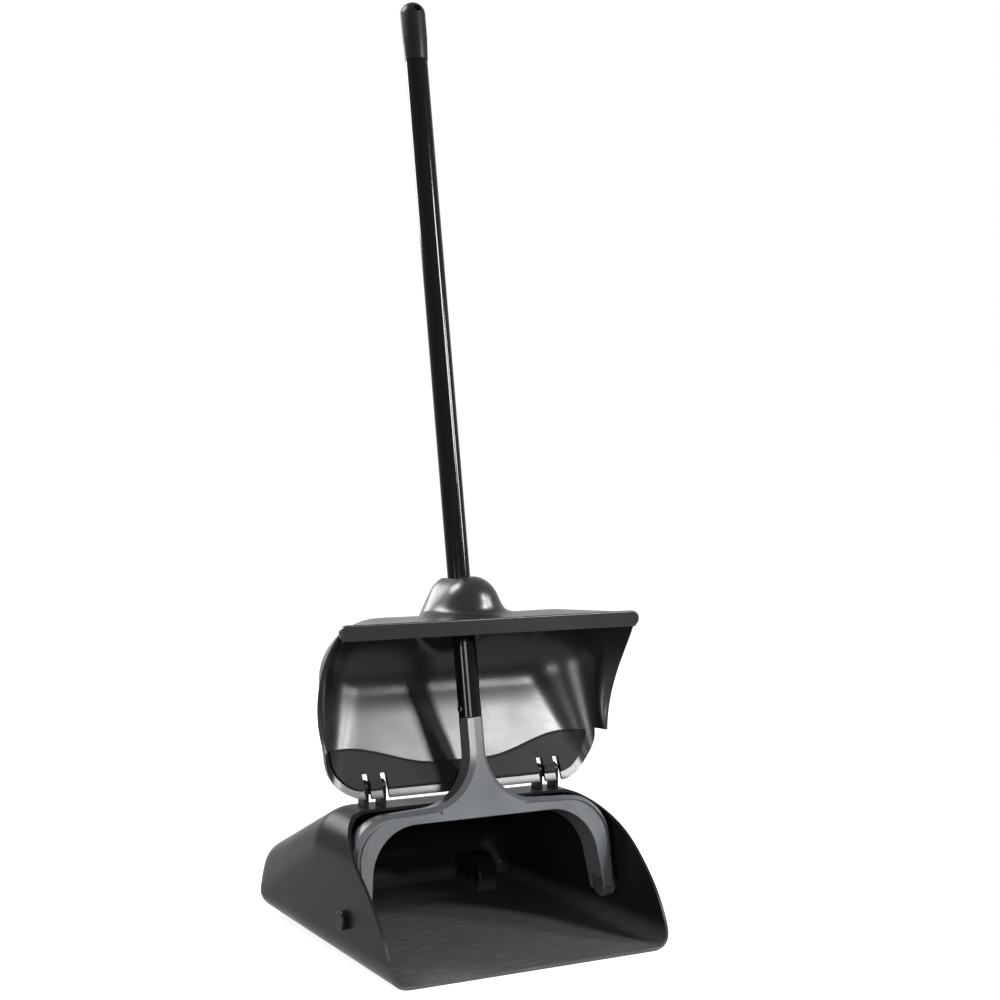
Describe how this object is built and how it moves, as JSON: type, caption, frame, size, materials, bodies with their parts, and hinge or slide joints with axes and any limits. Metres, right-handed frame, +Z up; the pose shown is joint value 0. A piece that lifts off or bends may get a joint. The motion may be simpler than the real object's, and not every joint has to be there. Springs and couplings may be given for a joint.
{
  "type": "lobby dustpan",
  "caption": "Upright hooded lobby dustpan on rear wheels, with a long tube handle on a swinging yoke and a hinged cover that the handle shuts over the mouth.",
  "frame": {"origin": "On the floor below the middle of the pan", "axes": "+Z up, the mouth of the pan faces -Y, +X to the right as seen from the mouth"},
  "size_m": [0.3248, 0.3239, 0.9128],
  "materials": {
    "pan_plastic": "semi-gloss black moulded plastic",
    "cover_plastic": "semi-gloss black moulded plastic",
    "wear_plastic": "matte dark grey plastic",
    "wheel_plastic": "matte dark grey plastic",
    "pin_steel": "plain bright steel",
    "rivet_steel": "blackened steel",
    "cap_plastic": "satin black plastic",
    "bearing_nylon": "natural nylon",
    "yoke_plastic": "satin graphite grey plastic",
    "tube_paint": "gloss black enamel on a metal tube"
  },
  "bodies": {
    "pan": {"pan_shell": "pan_plastic", "wear_pad_left": "wear_plastic", "wear_pad_right": "wear_plastic", "axle_pin_left": "pin_steel", "axle_pin_right": "pin_steel", "pivot_pin_left": "pin_steel", "pivot_pin_right": "pin_steel", "pivot_cap_left": "cap_plastic", "pivot_cap_right": "cap_plastic", "pivot_washer_left": "bearing_nylon", "pivot_washer_right": "bearing_nylon", "hinge_pin_left": "pin_steel", "hinge_pin_right": "pin_steel"},
    "handle": {"yoke": "yoke_plastic", "pivot_bush_left": "bearing_nylon", "pivot_bush_right": "bearing_nylon", "handle_tube": "tube_paint", "handle_rivet": "rivet_steel", "grip_cap": "cap_plastic"},
    "cover": {"cover_shell": "cover_plastic"},
    "wheel_left": {"wheel_left": "wheel_plastic"},
    "wheel_right": {"wheel_right": "wheel_plastic"}
  },
  "joints": [
    {"name": "handle_swing", "type": "hinge", "parent": "pan", "child": "handle", "pos_m": [0, -0.066, 0.042], "axis": [1, 0, 0], "range_deg": [0, 68]},
    {"name": "cover_hinge", "type": "hinge", "parent": "pan", "child": "cover", "pos_m": [0, -0.016, 0.15], "axis": [1, 0, 0], "range_deg": [0, 99]},
    {"name": "wheel_left_spin", "type": "hinge", "parent": "pan", "child": "wheel_left", "pos_m": [-0.085, 0.108, 0.02], "axis": [1, 0, 0], "continuous": true},
    {"name": "wheel_right_spin", "type": "hinge", "parent": "pan", "child": "wheel_right", "pos_m": [0.085, 0.108, 0.02], "axis": [1, 0, 0], "continuous": true}
  ],
  "couplings": [
    {"joint": "cover_hinge", "follows": "handle_swing", "ratio": 1.4559}
  ]
}
